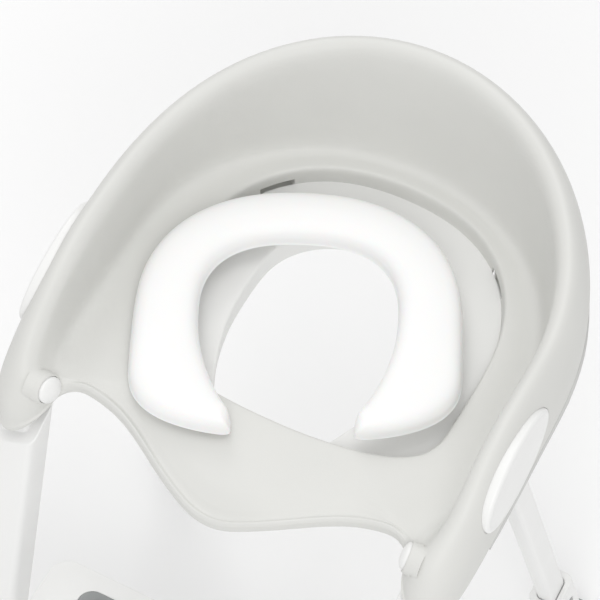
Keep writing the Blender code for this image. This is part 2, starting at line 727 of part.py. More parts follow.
def build_foot(stem, side, pivot, lean, x, size):
    """A rubber foot, flat on the floor under a leaning leg."""
    run = (pivot[1] + SEAT_HEIGHT) * math.tan(math.radians(lean))
    foot = rounded_bar(size[0], size[1], FOOT_HEIGHT, 0.0, 0.0, 8.0)
    name = side_name(stem, side)
    at = Vector((x * side, pivot[0] + SEAT_Y + run - math.copysign(2.6, lean), 0)) * MM
    add_object(name, mesh_from(foot, name, side), RUBBER, at)


def build_lock_button(stem, side, place, lean, inner, outer, z):
    """A sprung push button that frees the height adjustment."""
    name = side_name(stem, side)
    button = turned_x(((inner, 6.1), (outer - 1.2, 6.1), (outer - 0.3, 5.2), (outer, 3.0)), 20)
    bmesh.ops.translate(button, verts=button.verts, vec=(0, 0, z))
    add_object(name, mesh_from(button, name, side), BUTTON_GREY, place, lean)


# ---------------------------------------------------------------- step

STEP_ALONG = 238.0  # from the front hinge, down the ladder
STEP_DEPTH = 118.0
STEP_THICKNESS = 20.0
STEP_HALF = FRONT_LEG_X - FRONT_WIDTH / 2 - GAP


def step_centre():
    lean = math.radians(FRONT_LEAN)
    y = FRONT_PIVOT[0] - STEP_ALONG * math.sin(lean)
    z = FRONT_PIVOT[1] - STEP_ALONG * math.cos(lean)
    return seat_point(0, y, z)


def plate(width, depth, low, high, radius):
    """A level plate with rounded corners in plan."""
    return rounded_bar(width, depth, high, low, 0.0, radius)


def build_step():
    at = step_centre()
    body = plate(2 * STEP_HALF, STEP_DEPTH, -STEP_THICKNESS, 0.0, 16.0)
    tread = add_object("step_tread", mesh_from(body, "step_tread"), WHITE_PLASTIC, at)
    bevel(tread, 2.5)
    cut(tread, plate(2 * STEP_HALF - 8, STEP_DEPTH - 8, -STEP_THICKNESS - 5, -4.0, 12.5), at)
    cut(tread, plate(232.0, 88.0, -1.2, 5.0, 12.0), at)
    mat = plate(231.2, 87.2, -0.9, 1.4, 11.6)
    add_object("step_grip", mesh_from(mat, "step_grip"), RUBBER, at)
    for side in (-1, 1):
        for y in (-8.0, 8.0):
            name = side_name("step_screw_front" if y < 0 else "step_screw_rear", side)
            place = at + Vector((0, y, -10.0)) * MM
            head = turned_x(((STEP_HALF - 6.6, 2.2), (STEP_HALF - 6.2, 3.4), (STEP_HALF - 4.4, 3.4)), 16)
            add_object(name, mesh_from(head, name, side), STEEL, place)


def build_rim_pads():
    """Soft pads under the shell's ledge, which sit on a toilet's rim."""
    for side in (-1, 1):
        for label, x, y in (("front", 119.5, -42.0), ("middle", 118.5, 20.0)):
            name = side_name("rim_pad_" + label, side)
            low = LEDGE_Z - WALL - GAP - 8.0
            pad = rounded_bar(7.0, 34.0, low + 8.0, low, 0.0, 3.0, 2)
            add_object(name, mesh_from(pad, name, side), RUBBER, seat_point(x * side, y, 0))


# ---------------------------------------------------------------- assembly

clear_scene()
PARTS = make_collection(COLLECTION)
CUTTERS = make_collection(COLLECTION + "_cutters", hidden=True)
SHELL_PLASTIC = material("shell_plastic", (0.72, 0.72, 0.69), 0.5)
RING_PLASTIC = material("ring_plastic", (0.80, 0.80, 0.78), 0.45)
COVER_PLASTIC = material("cover_plastic", (0.66, 0.66, 0.64), 0.5)
WHITE_PLASTIC = material("white_plastic", (0.88, 0.88, 0.87), 0.35)
CUSHION_FOAM = material("cushion_foam", (0.93, 0.93, 0.93), 0.6)
RUBBER = material("grey_rubber", (0.35, 0.36, 0.36), 0.8)
BUTTON_GREY = material("button_grey", (0.55, 0.56, 0.56), 0.45)
STEEL = material("steel", (0.6, 0.6, 0.6), 0.3, 1.0)

build_seat_shell()
build_seat_ring()
build_cushion()
build_rim_pads()
build_step()
for which in (-1, 1):
    build_arm_cover(which)
    build_pivot_cap(which)
    build_front_hinge(which)
    build_front_leg(which)
    build_rear_leg(which)
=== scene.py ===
"""Looks of the potty training chair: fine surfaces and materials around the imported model.

Shapes of the seat are described as the model's own are: in millimetres, in the seat frame,
measured from the middle of the seat ring's top face.
"""

import math

import bmesh
import bpy
from mathutils import Matrix, Vector


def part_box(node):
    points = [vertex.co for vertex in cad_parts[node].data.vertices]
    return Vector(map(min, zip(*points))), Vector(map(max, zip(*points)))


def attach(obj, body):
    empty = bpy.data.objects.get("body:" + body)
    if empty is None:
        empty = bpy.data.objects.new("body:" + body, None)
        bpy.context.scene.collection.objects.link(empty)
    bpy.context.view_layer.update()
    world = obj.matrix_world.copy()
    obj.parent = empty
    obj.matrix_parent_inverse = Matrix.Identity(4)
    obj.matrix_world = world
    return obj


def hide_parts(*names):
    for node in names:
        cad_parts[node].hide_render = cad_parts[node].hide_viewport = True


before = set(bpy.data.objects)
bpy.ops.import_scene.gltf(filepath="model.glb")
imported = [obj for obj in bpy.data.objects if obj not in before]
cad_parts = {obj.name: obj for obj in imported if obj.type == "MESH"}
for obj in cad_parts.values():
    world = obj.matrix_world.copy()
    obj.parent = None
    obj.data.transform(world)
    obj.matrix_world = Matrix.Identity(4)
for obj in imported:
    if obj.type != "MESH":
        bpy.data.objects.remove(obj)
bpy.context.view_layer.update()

MM = 0.001
SEAT_HEIGHT = 420.0
SEAT_Y = 62.2
WALL = 2.5
GAP = 0.35

# Seat shell
BOWL_Y = -10.0
RIM_R = 167.5
SHOULDER_Z = 15.0
LEDGE_Z = -3.4
LEDGE_WIDTH = 7.0
RECESS_HALF = 124.5
RECESS_BACK = 131.0
RECESS_FRONT_Y = -62.0
RECESS_FRONT = 48.0
ROLL_WIDTH = 17.0
ROLL_HEIGHT = 7.0
FLANK_OUT = 26.0
SIDE_RIM_Z = 80.0
BACK_RIM_Z = 124.0
BACK_HEM_Z = 86.0
ARM_HEM_Z = 31.0
ARM_HEM_SLOPE = 0.225

SIDE_DEGREES = (90, 78, 66, 54, 42, 30, 18, 6)  # sections round the back, from the middle to the side
OPENING_MIDDLE = Vector((0, 13, 0))
OPENING_HALF = (72.0, 62.0, 2.2)  # half width and half depth behind the middle, and the curve's power

# The latches at the back corners, turned to face the middle of the seat
LATCH_AT = (95.6, 83.6, 0.9)
TAB_AT = (93.2, 81.2, -1.4)
LATCH_TURN = Matrix.Rotation(math.radians(-45), 3, "Z")

# The fold button lies in a sloped face: how far it shifts outward for each millimetre in Y and in Z
BUTTON_RADIUS = 10.5
BUTTON_HOLE_RADIUS = BUTTON_RADIUS + 0.4
BUTTON_SLOPE_Y = -0.19
BUTTON_SLOPE_Z = 0.245

# The oval cap outside each arm
CAP_AT = (191.0, -83.0, 46.0)
CAP_HALF_LENGTH = 51.0
CAP_HALF_HEIGHT = 27.0
CAP_LEAN_IN = -4.5
CAP_SLOPE = 14.0

# Legs: a pivot is given as (y, z), a lean in degrees
FRONT_PIVOT = (-168.0, 17.0)
FRONT_LEAN = 15.7
REAR_PIVOT = (-81.0, 50.0)
REAR_LEAN = 17.8
FRONT_LEG_X = 169.5
REAR_LEG_X = 179.8
FOOT_HEIGHT = 18.0
FRONT_WIDTH = 41.0
FRONT_DEPTH = 31.0
FRONT_TUBE_END = 392.0
REAR_WIDTH = 15.6
REAR_DEPTH = 22.0
REAR_TUBE_END = 440.0
SLEEVE_TOP = 376.0
LEG_WALL = 3.0
PIVOT_RADIUS = 8.5
LOCK_HOLE_RADIUS = 6.5
FRONT_LOCK_DOWN = 330.0
REAR_LOCK_DOWN = 408.0

# Step and cushion
STEP_ALONG = 238.0
STEP_DEPTH = 118.0
STEP_THICKNESS = 20.0
STEP_HALF = FRONT_LEG_X - FRONT_WIDTH / 2 - GAP
STEP_RIBS = 9
STEP_RIB_PITCH = 9.0
CUSHION_AT = (-18.0, -25.0)
CUSHION_TURN = 26.0
CUSHION_FOOT_Z = SHOULDER_Z + 0.5
BASE_THICKNESS = 2.6

# Camera and studio
CAMERA_AZIMUTH = 28.5
CAMERA_ELEVATION = 56.0
CAMERA_DISTANCE = 3.2
CAMERA_TARGET = (-30.0, 0.0, 0.0)
CAMERA_LENS = 256.0
WORLD_STRENGTH = 0.74
LIGHT_SIZE = 1.2
LIGHT_TARGET = Vector((0, 0, 0.4))
LIGHTS = (
    ("front_light", (0.9, -1.6, 2.1), 16.5), ("top_light", (0.0, 0.0, 2.5), 6.5),
    ("back_light", (-1.2, 1.3, 2.0), 8.0),
)

SIDES = (-1, 1)  # left, right


# ---------------------------------------------------------------- camera, light and floor


def seat_point(x, y, z):
    """A place given in the seat frame, in metres in the world."""
    return Vector((x, y + SEAT_Y, z + SEAT_HEIGHT)) * MM


def build_camera():
    azimuth, elevation = math.radians(CAMERA_AZIMUTH), math.radians(CAMERA_ELEVATION)
    level = math.cos(elevation)
    back = Vector((math.sin(azimuth) * level, -math.cos(azimuth) * level, math.sin(elevation)))
    camera = bpy.data.objects.new("camera", bpy.data.cameras.new("camera"))
    camera.data.lens = CAMERA_LENS
    camera.data.sensor_width = 36.0
    camera.location = seat_point(*CAMERA_TARGET) + back * CAMERA_DISTANCE
    camera.rotation_mode = "QUATERNION"
    camera.rotation_quaternion = (-back).to_track_quat("-Z", "Y")
    bpy.context.scene.collection.objects.link(camera)
    bpy.context.scene.camera = camera


def area_light(name, place, power):
    light = bpy.data.lights.new(name, "AREA")
    light.shape = "SQUARE"
    light.size = LIGHT_SIZE
    light.energy = power
    obj = bpy.data.objects.new(name, light)
    obj.location = place
    aim = LIGHT_TARGET - Vector(place)
    obj.rotation_mode = "QUATERNION"
    obj.rotation_quaternion = aim.to_track_quat("-Z", "Y")
    bpy.context.scene.collection.objects.link(obj)


def build_studio():
    world = bpy.data.worlds.new("studio")
    world.use_nodes = True
    background = world.node_tree.nodes["Background"]
    background.inputs["Color"].default_value = (1.0, 1.0, 1.0, 1.0)
    background.inputs["Strength"].default_value = WORLD_STRENGTH
    bpy.context.scene.world = world
    bpy.context.scene.view_settings.view_transform = "Standard"
    for light in LIGHTS:
        area_light(*light)
    bm = bmesh.new()
    bmesh.ops.create_grid(bm, x_segments=1, y_segments=1, size=6.0)
    mesh = bpy.data.meshes.new("floor")
    bm.to_mesh(mesh)
    bm.free()
    floor = bpy.data.objects.new("floor", mesh)
    floor.data.materials.append(plain("floor", (0.97, 0.97, 0.97), 0.9))
    bpy.context.scene.collection.objects.link(floor)


# ---------------------------------------------------------------- materials


def plain(name, colour, roughness, metallic=0.0):
    made = bpy.data.materials.new(name)
    made.use_nodes = True
    shader = made.node_tree.nodes["Principled BSDF"]
    shader.inputs["Base Color"].default_value = (*colour, 1.0)
    shader.inputs["Roughness"].default_value = roughness
    shader.inputs["Metallic"].default_value = metallic
    return made


class Surface:
    """A Principled material whose colour, roughness and bump come from object-space noise."""

    def __init__(self, name, colour, roughness, metallic=0.0):
        self.material = plain(name, colour, roughness, metallic)
        self.tree = self.material.node_tree
        self.shader = self.tree.nodes["Principled BSDF"]
        self.place = self.tree.nodes.new("ShaderNodeTexCoord").outputs["Object"]
        self.colour = colour
        self.last_normal = None

    def node(self, kind, **values):
        made = self.tree.nodes.new(kind)
        for key, value in values.items():
            made.inputs[key.replace("_", " ")].default_value = value
        return made

    def noise(self, scale, detail=2.0, stretch=None):
        source = self.place
        if stretch:
            mapping = self.tree.nodes.new("ShaderNodeMapping")
            mapping.inputs["Scale"].default_value = stretch
            self.tree.links.new(source, mapping.inputs["Vector"])
            source = mapping.outputs["Vector"]
        made = self.node("ShaderNodeTexNoise", Scale=scale, Detail=detail, Roughness=0.55)
        self.tree.links.new(source, made.inputs["Vector"])
        return made.outputs["Fac"]

    def remap(self, value, low, high):
        made = self.node("ShaderNodeMapRange")
        made.inputs["To Min"].default_value = low
        made.inputs["To Max"].default_value = high
        made.inputs["From Min"].default_value = 0.3
        made.inputs["From Max"].default_value = 0.7
        self.tree.links.new(value, made.inputs["Value"])
        return made.outputs["Result"]

    def tint(self, scale, spread):
        """Vary the colour's brightness slowly by plus or minus spread."""
        mix = self.tree.nodes.new("ShaderNodeMix")
        mix.data_type = "RGBA"
        mix.inputs[6].default_value = (*(c * (1 - spread) for c in self.colour), 1.0)
        mix.inputs[7].default_value = (*(min(c * (1 + spread), 1.0) for c in self.colour), 1.0)
        self.tree.links.new(self.remap(self.noise(scale), 0.0, 1.0), mix.inputs[0])
        self.tree.links.new(mix.outputs[2], self.shader.inputs["Base Color"])
        return self

    def sheen_change(self, scale, low, high):
        self.tree.links.new(self.remap(self.noise(scale, 3.0), low, high), self.shader.inputs["Roughness"])
        return self

    def bump(self, height, distance, strength=1.0):
        made = self.node("ShaderNodeBump", Strength=strength, Distance=distance)
        self.tree.links.new(height, made.inputs["Height"])
        if self.last_normal:
            self.tree.links.new(self.last_normal, made.inputs["Normal"])
        self.last_normal = made.outputs["Normal"]
        self.tree.links.new(self.last_normal, self.shader.inputs["Normal"])
        return self


def moulded(name, colour, roughness, grain, depth, spread=0.012):
    """Injection moulded plastic: a fine even grain, and a slow change of tone and gloss."""
    made = Surface(name, colour, roughness)
    made.tint(14.0, spread).sheen_change(30.0, roughness - 0.05, roughness + 0.06)
    made.bump(made.noise(grain, 1.0), depth, 0.6)
    made.bump(made.noise(45.0, 1.0), 0.00012, 0.25)
    return made.material


def foam_skin():
    made = Surface("cushion_skin", (0.885, 0.885, 0.88), 0.5)
    made.tint(9.0, 0.006).sheen_change(24.0, 0.46, 0.56)
    made.bump(made.noise(1500.0, 2.0), 0.00004, 0.5)
    made.bump(made.noise(38.0, 1.0), 0.0003, 0.25)
    made.shader.inputs["Subsurface Weight"].default_value = 0.12
    made.shader.inputs["Subsurface Scale"].default_value = 0.006
    return made.material


def rubber():
    made = Surface("rubber", (0.30, 0.31, 0.31), 0.75)
    made.tint(40.0, 0.06).sheen_change(60.0, 0.66, 0.84)
    made.bump(made.noise(1100.0, 2.0), 0.0001, 0.7)
    return made.material


def steel():
    made = Surface("drawn_steel", (0.62, 0.62, 0.63), 0.32, 1.0)
    made.sheen_change(90.0, 0.25, 0.42)
    made.bump(made.noise(900.0, 2.0, (0.06, 1.0, 1.0)), 0.00003, 0.6)
    return made.material


# ---------------------------------------------------------------- mesh helpers


def mixed(a, b, share):
    """The value or place that lies a share of the way from a to b."""
    return a + (b - a) * share


def smooth(share):
    """An even start and end between 0 and 1."""
    share = min(max(share, 0.0), 1.0)
    return share * share * (3 - 2 * share)


def grid(bm, rows, closed=False):
    """Join rows of points by faces; closed rows run round."""
    made = [[bm.verts.new(point) for point in row] for row in rows]
    for row, following in zip(made, made[1:]):
        count = len(row)
        for i in range(count if closed else count - 1):
            k = (i + 1) % count
            bm.faces.new((row[i], row[k], following[k], following[i]))
    return made


def loft(rows):
    """A closed body through rings of points."""
    bm = bmesh.new()
    rings = grid(bm, rows, closed=True)
    bm.faces.new(rings[0])
    bm.faces.new(rings[-1])
    bmesh.ops.recalc_face_normals(bm, faces=bm.faces)
    return bm


def box(size, centre=(0, 0, 0)):
    bm = bmesh.new()
    bmesh.ops.create_cube(bm, size=1)
    bmesh.ops.scale(bm, vec=size, verts=bm.verts)
    bmesh.ops.translate(bm, vec=centre, verts=bm.verts)
    return bm


def rounded_bar(width, depth, top, bottom, x, radius, corner_steps=8):
    """An upright bar with rounded corners in plan."""
    outline = []
    for quarter, (sx, sy) in enumerate(((1, 1), (-1, 1), (-1, -1), (1, -1))):
        for i in range(corner_steps + 1):
            turn = math.radians(90 * quarter + 90 * i / corner_steps)
            corner = Vector((sx * (width / 2 - radius), sy * (depth / 2 - radius), 0))
            outline.append(corner + Vector((math.cos(turn), math.sin(turn), 0)) * radius)
    return loft([[point + Vector((x, 0, z)) for point in outline] for z in (bottom, top)])


def turned_x(profile, segments=64):
    """A body of revolution about X, from (x, radius) pairs."""
    rings = []
    for x, radius in profile:
        turns = [math.tau * i / segments for i in range(segments)]
        rings.append([Vector((x, radius * math.cos(turn), radius * math.sin(turn))) for turn in turns])
    return loft(rings)


def mesh_from(bm, name, side=1, sharp=40.0):
    """Turn a bmesh in millimetres into a mesh in metres, mirrored in X when side is -1."""
    bmesh.ops.scale(bm, vec=(MM * side, MM, MM), verts=bm.verts)
    if side < 0:
        bmesh.ops.reverse_faces(bm, faces=bm.faces)
    mesh = bpy.data.meshes.new(name)
    bm.to_mesh(mesh)
    bm.free()
    mesh.shade_smooth()
    if sharp:
        mesh.set_sharp_from_angle(angle=math.radians(sharp))
    return mesh


def piece(name, mesh, finish, place=(0, 0, 0), lean=0.0, turn=0.0):
    """A new object at a place in metres, leaning about X and turned about Z by degrees."""
    obj = bpy.data.objects.new(name, mesh)
    obj.location = place
    obj.rotation_euler = (math.radians(lean), 0, math.radians(turn))
    bpy.context.scene.collection.objects.link(obj)
    mesh.materials.append(finish)
    return obj


def applied(obj, cutters=()):
    """Apply the object's modifiers and remove the cutters they used."""
    bpy.context.view_layer.update()
    graph = bpy.context.evaluated_depsgraph_get()
    mesh = bpy.data.meshes.new_from_object(obj.evaluated_get(graph), depsgraph=graph)
    mesh.name = obj.name + "_mesh"
    obj.modifiers.clear()
    obj.data = mesh
    for cutter in cutters:
        bpy.data.objects.remove(cutter, do_unlink=True)
    return obj


def cutter(obj, bm, place=(0, 0, 0), lean=0.0, side=1, operation="DIFFERENCE"):
    """Cut a body out of an object, or join it on, once the object's modifiers are applied."""
    tool = bpy.data.objects.new(obj.name + "_tool", mesh_from(bm, "tool", side))
    tool.location = place
    tool.rotation_euler = (math.radians(lean), 0, 0)
    bpy.context.scene.collection.objects.link(tool)
    made = obj.modifiers.new("cut", "BOOLEAN")
    made.operation = operation
    made.object = tool
    return tool


def rounded_edges(obj, width, segments):
    made = obj.modifiers.new("edges", "BEVEL")
    made.width = width * MM
    made.segments = segments
    made.limit_method = "ANGLE"
    made.angle_limit = math.radians(35)
    made.harden_normals = True


def subdivided(obj):
    made = obj.modifiers.new("fine", "SUBSURF")
    made.levels = 2
    made.render_levels = 2


def settle(obj, body, slot, *nodes):
    """The piece rides on its body and stands for its CAD nodes; the slot is not used."""
    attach(obj, body)
    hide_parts(*nodes)
    return obj


def side_name(stem, side):
    return stem + ("_left" if side < 0 else "_right")


# ---------------------------------------------------------------- curves of the seat


def spline(points, steps):
    """A centripetal Catmull-Rom curve through points, with steps pieces between neighbours."""
    ends = [points[0] * 2 - points[1]] + list(points) + [points[-1] * 2 - points[-2]]
    made = []
    for a, b, c, d in zip(ends, ends[1:], ends[2:], ends[3:]):
        before, between, after = ((q - p).length ** 0.5 for p, q in ((a, b), (b, c), (c, d)))
        leave = ((b - a) / before - (c - a) / (before + between)) * between + (c - b)
        arrive = (c - b) + ((d - c) / after - (d - b) / (between + after)) * between
        for i in range(steps):
            t = i / steps
            made.append(
                b * (2 * t**3 - 3 * t**2 + 1) + c * (3 * t**2 - 2 * t**3)
                + leave * (t**3 - 2 * t**2 + t) + arrive * (t**3 - t**2)
            )
    made.append(points[-1].copy())
    return made


def polar_superellipse(a, b, power, degrees):
    c, s = math.cos(math.radians(degrees)), math.sin(math.radians(degrees))
    r = (abs(c / a) ** power + abs(s / b) ** power) ** (-1 / power)
    return Vector((r * c, r * s, 0.0))


def recess_back(degrees, inset=0.0):
    point = polar_superellipse(RECESS_HALF - inset, RECESS_BACK - inset, 2.35, degrees)
    return point + Vector((0, BOWL_Y, 0))


def recess_front(degrees, inset=0.0):
    point = polar_superellipse(RECESS_HALF - inset, RECESS_FRONT - inset, 2.4, -degrees)
    return point + Vector((0, RECESS_FRONT_Y, 0))


def hole_half_width(y):
    """Half the width of the ring's opening in front of its middle."""
    return 72.0 - 24.0 * (max(-15.0 - y, 0.0) / 85.0) ** 1.8


def rim_height(y):
    """Height of the rim's inner edge: low at the arms, high at the back."""
    rise = max(y + BOWL_Y, 0.0) / 148.0
    fall = max(-60.0 - y, 0.0) / 137.0
    return SIDE_RIM_Z + (BACK_RIM_Z - SIDE_RIM_Z) * rise**1.2 - 92.0 * fall**1.87


def hem_height(y):
    """Height of the shell's outer lower edge."""
    level = ARM_HEM_Z - ARM_HEM_SLOPE * max(19.0 - y, 0.0)
    return mixed(level, BACK_HEM_Z, smooth((y - 50.0) / 140.0))


# ---------------------------------------------------------------- seat shell


def side_features(foot, outward, lean):
    """Wall base, rim edge, roll crest, groove, flank and hem at one place along the rim."""
    z = rim_height(foot.y)
    hem = hem_height(foot.y)
    return [
        foot - outward * lean + Vector((0, 0, SHOULDER_Z + 1)),
        foot + Vector((0, 0, z)),
        foot + outward * (ROLL_WIDTH / 2) + Vector((0, 0, z + ROLL_HEIGHT)),
        foot + outward * ROLL_WIDTH + Vector((0, 0, z - 1)),
        foot + outward * FLANK_OUT + Vector((0, 0, mixed(hem, z, 0.5))),
        foot + outward * (FLANK_OUT - 0.5) + Vector((0, 0, hem)),
    ]


def lip_features(x, y, z):
    """The front edge between the arm noses: a very low rim that ends in a rounded bead."""
    lip = Vector((x, y, z))
    normal = Vector((x * 0.3, -100.0, 0)).normalized()
    rise = SHOULDER_Z - z
    reach = mixed(1.0, 0.42, smooth((x - 100.0) / 34.0))
    drops = (
        (17 * reach, 0.42 * rise), (11 * reach, 0.2 * rise), (5.0, -0.5),
        (2.1, 1.5), (0, -2.0), (0, -9.0),
    )
    return [lip - normal * back + Vector((0, 0, up)) for back, up in drops]


# The arm's nose, from the outer flank round to the corner of the front lip: wall base, rim edge,
# crest, groove, flank and hem of each lofting station.
NOSE_STATIONS = (
    (
        (160.5, -120, 16), (168, -121, 60.5), (176, -122, 67),
        (185, -122, 60), (194, -120, 32), (193.5, -117, 0.5),
    ),
    (
        (157, -134, 16), (167.5, -139, 46.5), (175.5, -144, 51),
        (184.5, -148, 43), (193.5, -155, 17), (193, -158, -9),
    ),
    (
        (153.5, -142, 16), (165, -155, 37.5), (172, -164, 40),
        (181, -172, 30), (189, -181, 8), (188.5, -184, -17),
    ),
    (
        (151.5, -145.5, 16), (161, -167, 30), (166, -177, 29),
        (172, -187, 18), (175.5, -194, 2), (175, -195.5, -21),
    ),
    (
        (150.3, -148, 16), (155.5, -166, 26), (158, -177, 22),
        (161, -187, 9.5), (162.5, -193, -3), (162.5, -194, -17),
    ),
    (
        (148.8, -150.3, 16), (152, -160.5, 21.5), (150.7, -168.5, 17.5),
        (150, -175.5, 8.5), (151, -180.5, -1), (151.5, -181.5, -8),
    ),
    (
        (146.3, -150.5, 15.6), (149, -156, 16.5), (148.5, -161.3, 14.2),
        (147.9, -165.6, 8.5), (148, -168.6, 2), (148.2, -169.5, -2.5),
    ),
)
NOSE_CORNER = (
    (141.3, -149.3, 15), (144.3, -152.3, 15), (145.4, -155, 13.8),
    (145.5, -157.8, 10.2), (145.4, -159.8, 5.5), (145.4, -160.4, 1.5),
)
# Where the front lip runs, from the nose corner to the middle of the tongue.
LIP = ((134, -152.5, 15), (122, -152.5, 14), (108, -153.5, 10.5), (92, -158, 8), (72, -169, 6.5),
       (50, -183, 4.5), (30, -192.5, 0.5), (15, -198, -3.5), (0, -200, -5))


# The bead along the nose's hem: how far each point lies above the edge, and how proud it stands.
HEM_BEAD = ((8.6, 0.0), (7.4, 1.1), (6.1, 1.9), (4.8, 1.3), (3.8, 0.0), (1.6, 0.0))
NOSE_MIDDLE = (171.0, -160.0)

# The latch pocket's block and window: size, middle from the window's place, and how it is joined.
LATCH_POCKET = (
    ((31, 16.5, 22), (0, 9.2, -5.0), "UNION"), ((28, 22, 17.0), (0, 4.0, -4.4), "DIFFERENCE"),
)


def shell_stations():
    """Every lofting station of the right half, as (recess edge, way into the recess, features)."""
    stations = []
    for degrees in SIDE_DEGREES:
        outward = Vector((math.cos(math.radians(degrees)), math.sin(math.radians(degrees)), 0))
        foot = outward * RIM_R + Vector((0, BOWL_Y, 0))
        lean = 6.0 + 11.0 * smooth(degrees / 90)
        stations.append((recess_back(degrees), side_features(foot, outward, lean)))
    for y, corner in ((-25, None), (-45, None), (-62, 0.0), (-80, 4.5), (-101, 9.0)):
        edge = Vector((RECESS_HALF, y, 0)) if corner is None else recess_front(corner)
        stations.append((edge, side_features(Vector((RIM_R, y, 0)), Vector((1, 0, 0)), 6.0)))
    nose = [[Vector(point) for point in row] for row in (*NOSE_STATIONS, NOSE_CORNER)]
    for corner, row in zip((10.5, 12.5, 14, 15.5, 17, 18.5, 20, 23.5), nose):
        stations.append((recess_front(corner), row))
    for corner, lip in zip((27.5, 32, 37.5, 44, 52, 61, 71, 80.5, 90), LIP):
        stations.append((recess_front(corner), lip_features(*lip)))
    return stations


def shell_section(edge, features, steps):
    """One section of the shell, from the ledge under the ring out to the hem."""
    base, rim, crest, groove, flank, hem = features
    middle_y = min(max(edge.y, RECESS_FRONT_Y + 25.0), BOWL_Y)
    inward = (Vector((0, middle_y, 0)) - edge).normalized()
    apart = Vector((base.x - edge.x, base.y - edge.y, 0))
    out = apart.normalized()
    guard = smooth((60.0 - edge.x) / 14.0) if edge.y < RECESS_FRONT_Y else 0.0
    ledge_in = edge + inward * mixed(LEDGE_WIDTH, 1.5, guard) + Vector((0, 0, mixed(LEDGE_Z, -24.0, guard)))
    ledge_root = edge + inward * mixed(0.6, 1.2, guard) + Vector((0, 0, mixed(LEDGE_Z, -8.0, guard)))
    fixed = [ledge_in, ledge_root, edge + Vector((0, 0, SHOULDER_Z - 2.0))]
    start = edge + out * 2.2 + Vector((0, 0, SHOULDER_Z))
    fillet_in = base - out * min(9.0, apart.length * 0.3)
    fillet_in.z = min(SHOULDER_Z, mixed(base.z, SHOULDER_Z, 0.45))
    middle = (start + fillet_in) / 2
    middle.z += 0.12 * (SHOULDER_Z - fillet_in.z)
    tall = smooth((rim.z - 17.0) / 20.0)
    shaped = [start, middle, fillet_in, base + Vector((0, 0, 2.5 * tall))]
    shaped.append(mixed(base, rim, 0.25) + out * 1.5 * tall)
    shaped += [mixed(base, rim, 0.72) + out * 0.6 * tall, rim, crest, groove, flank, hem]
    return fixed + spline(shaped, steps)


def mirrored(point):
    return Vector((-point.x, point.y, point.z))


def wall_directions(rows, rounds):
    """For each point of a half skin, the way out of it, eased so that tight rolls don't fold."""
    last_row, last = len(rows) - 1, len(rows[0]) - 1

    def around(table, i, j):
        before = table[i - 1][j] if i > 0 else mirrored(table[1][j])
        after = table[i + 1][j] if i < last_row else mirrored(table[i - 1][j])
        return before, after, table[i][max(j - 1, 0)], table[i][min(j + 1, last)]

    directions = []
    for i, row in enumerate(rows):
        made = []
        for j in range(last + 1):
            before, after, inner, outer = around(rows, i, j)
            made.append((outer - inner).cross(before - after).normalized())
        directions.append(made)
    for _ in range(rounds):
        directions = [
            [(sum(around(directions, i, j), Vector()) + row[j] * 3).normalized() for j in range(last + 1)]
            for i, row in enumerate(directions)
        ]
    return directions


def thickened(rows, thickness, rounds):
    """A half skin and its inner face, joined along the inner and outer borders, open at X = 0."""
    directions = wall_directions(rows, rounds)
    loops = []
    for row, ways in zip(rows, directions):
        inside = [point - way * thickness for point, way in zip(row, ways)]
        loops.append(row + inside[::-1])
    for loop in (loops[0], loops[-1]):
        for point in loop:
            point.x = 0.0
    bm = bmesh.new()
    grid(bm, loops, closed=True)
    bmesh.ops.reverse_faces(bm, faces=bm.faces)
    return bm


def with_hem(row, bead):
    """Raise a rounded bead just above the hem, and keep both borders crisp when subdivided."""
    top, edge = row[-3], row[-1]
    along = (top - edge).normalized()
    scale = min((top - edge).length / 9.5, 1.0)
    middle = Vector((NOSE_MIDDLE[0], NOSE_MIDDLE[1], edge.z))
    out = (edge - middle).normalized() * bead
    hem = [edge + along * away * scale + out * proud for away, proud in HEM_BEAD]
    inner = row[0] + (row[1] - row[0]).normalized() * min(1.6, (row[1] - row[0]).length * 0.4)
    return [row[0], inner, *row[1:-2], *hem, edge]


def sheared(bm, below):
    """Lean the part of a turned body that lies inside a plane, so that it follows the arm's wall."""
    for vert in bm.verts:
        if vert.co.x < below:
            vert.co.x += BUTTON_SLOPE_Y * vert.co.y + BUTTON_SLOPE_Z * vert.co.z
    return bm


def button_collars():
    """The slim collar moulded round the fold button: short below, where the leg swings, and deep
    above, where an arch that fades out at both ends carries it on to the arm's wall."""
    collar = sheared(turned_x(((148.6, 11.6), (149.1, 12.0), (150.2, 12.3), (157.4, 12.9))), 152.0)
    arches = []
    for x, radius in ((156.0, 12.7), (159.0, 13.4), (163.5, 14.6)):
        arch = []
        for degrees in range(20, 216, 5):
            turn = math.radians(degrees)
            eased = mixed(12.2, radius, smooth(min(degrees - 20, 215 - degrees) / 60.0))
            arch.append(Vector((x, eased * math.cos(turn), eased * math.sin(turn))))
        arches.append(arch)
    return collar, loft(arches)


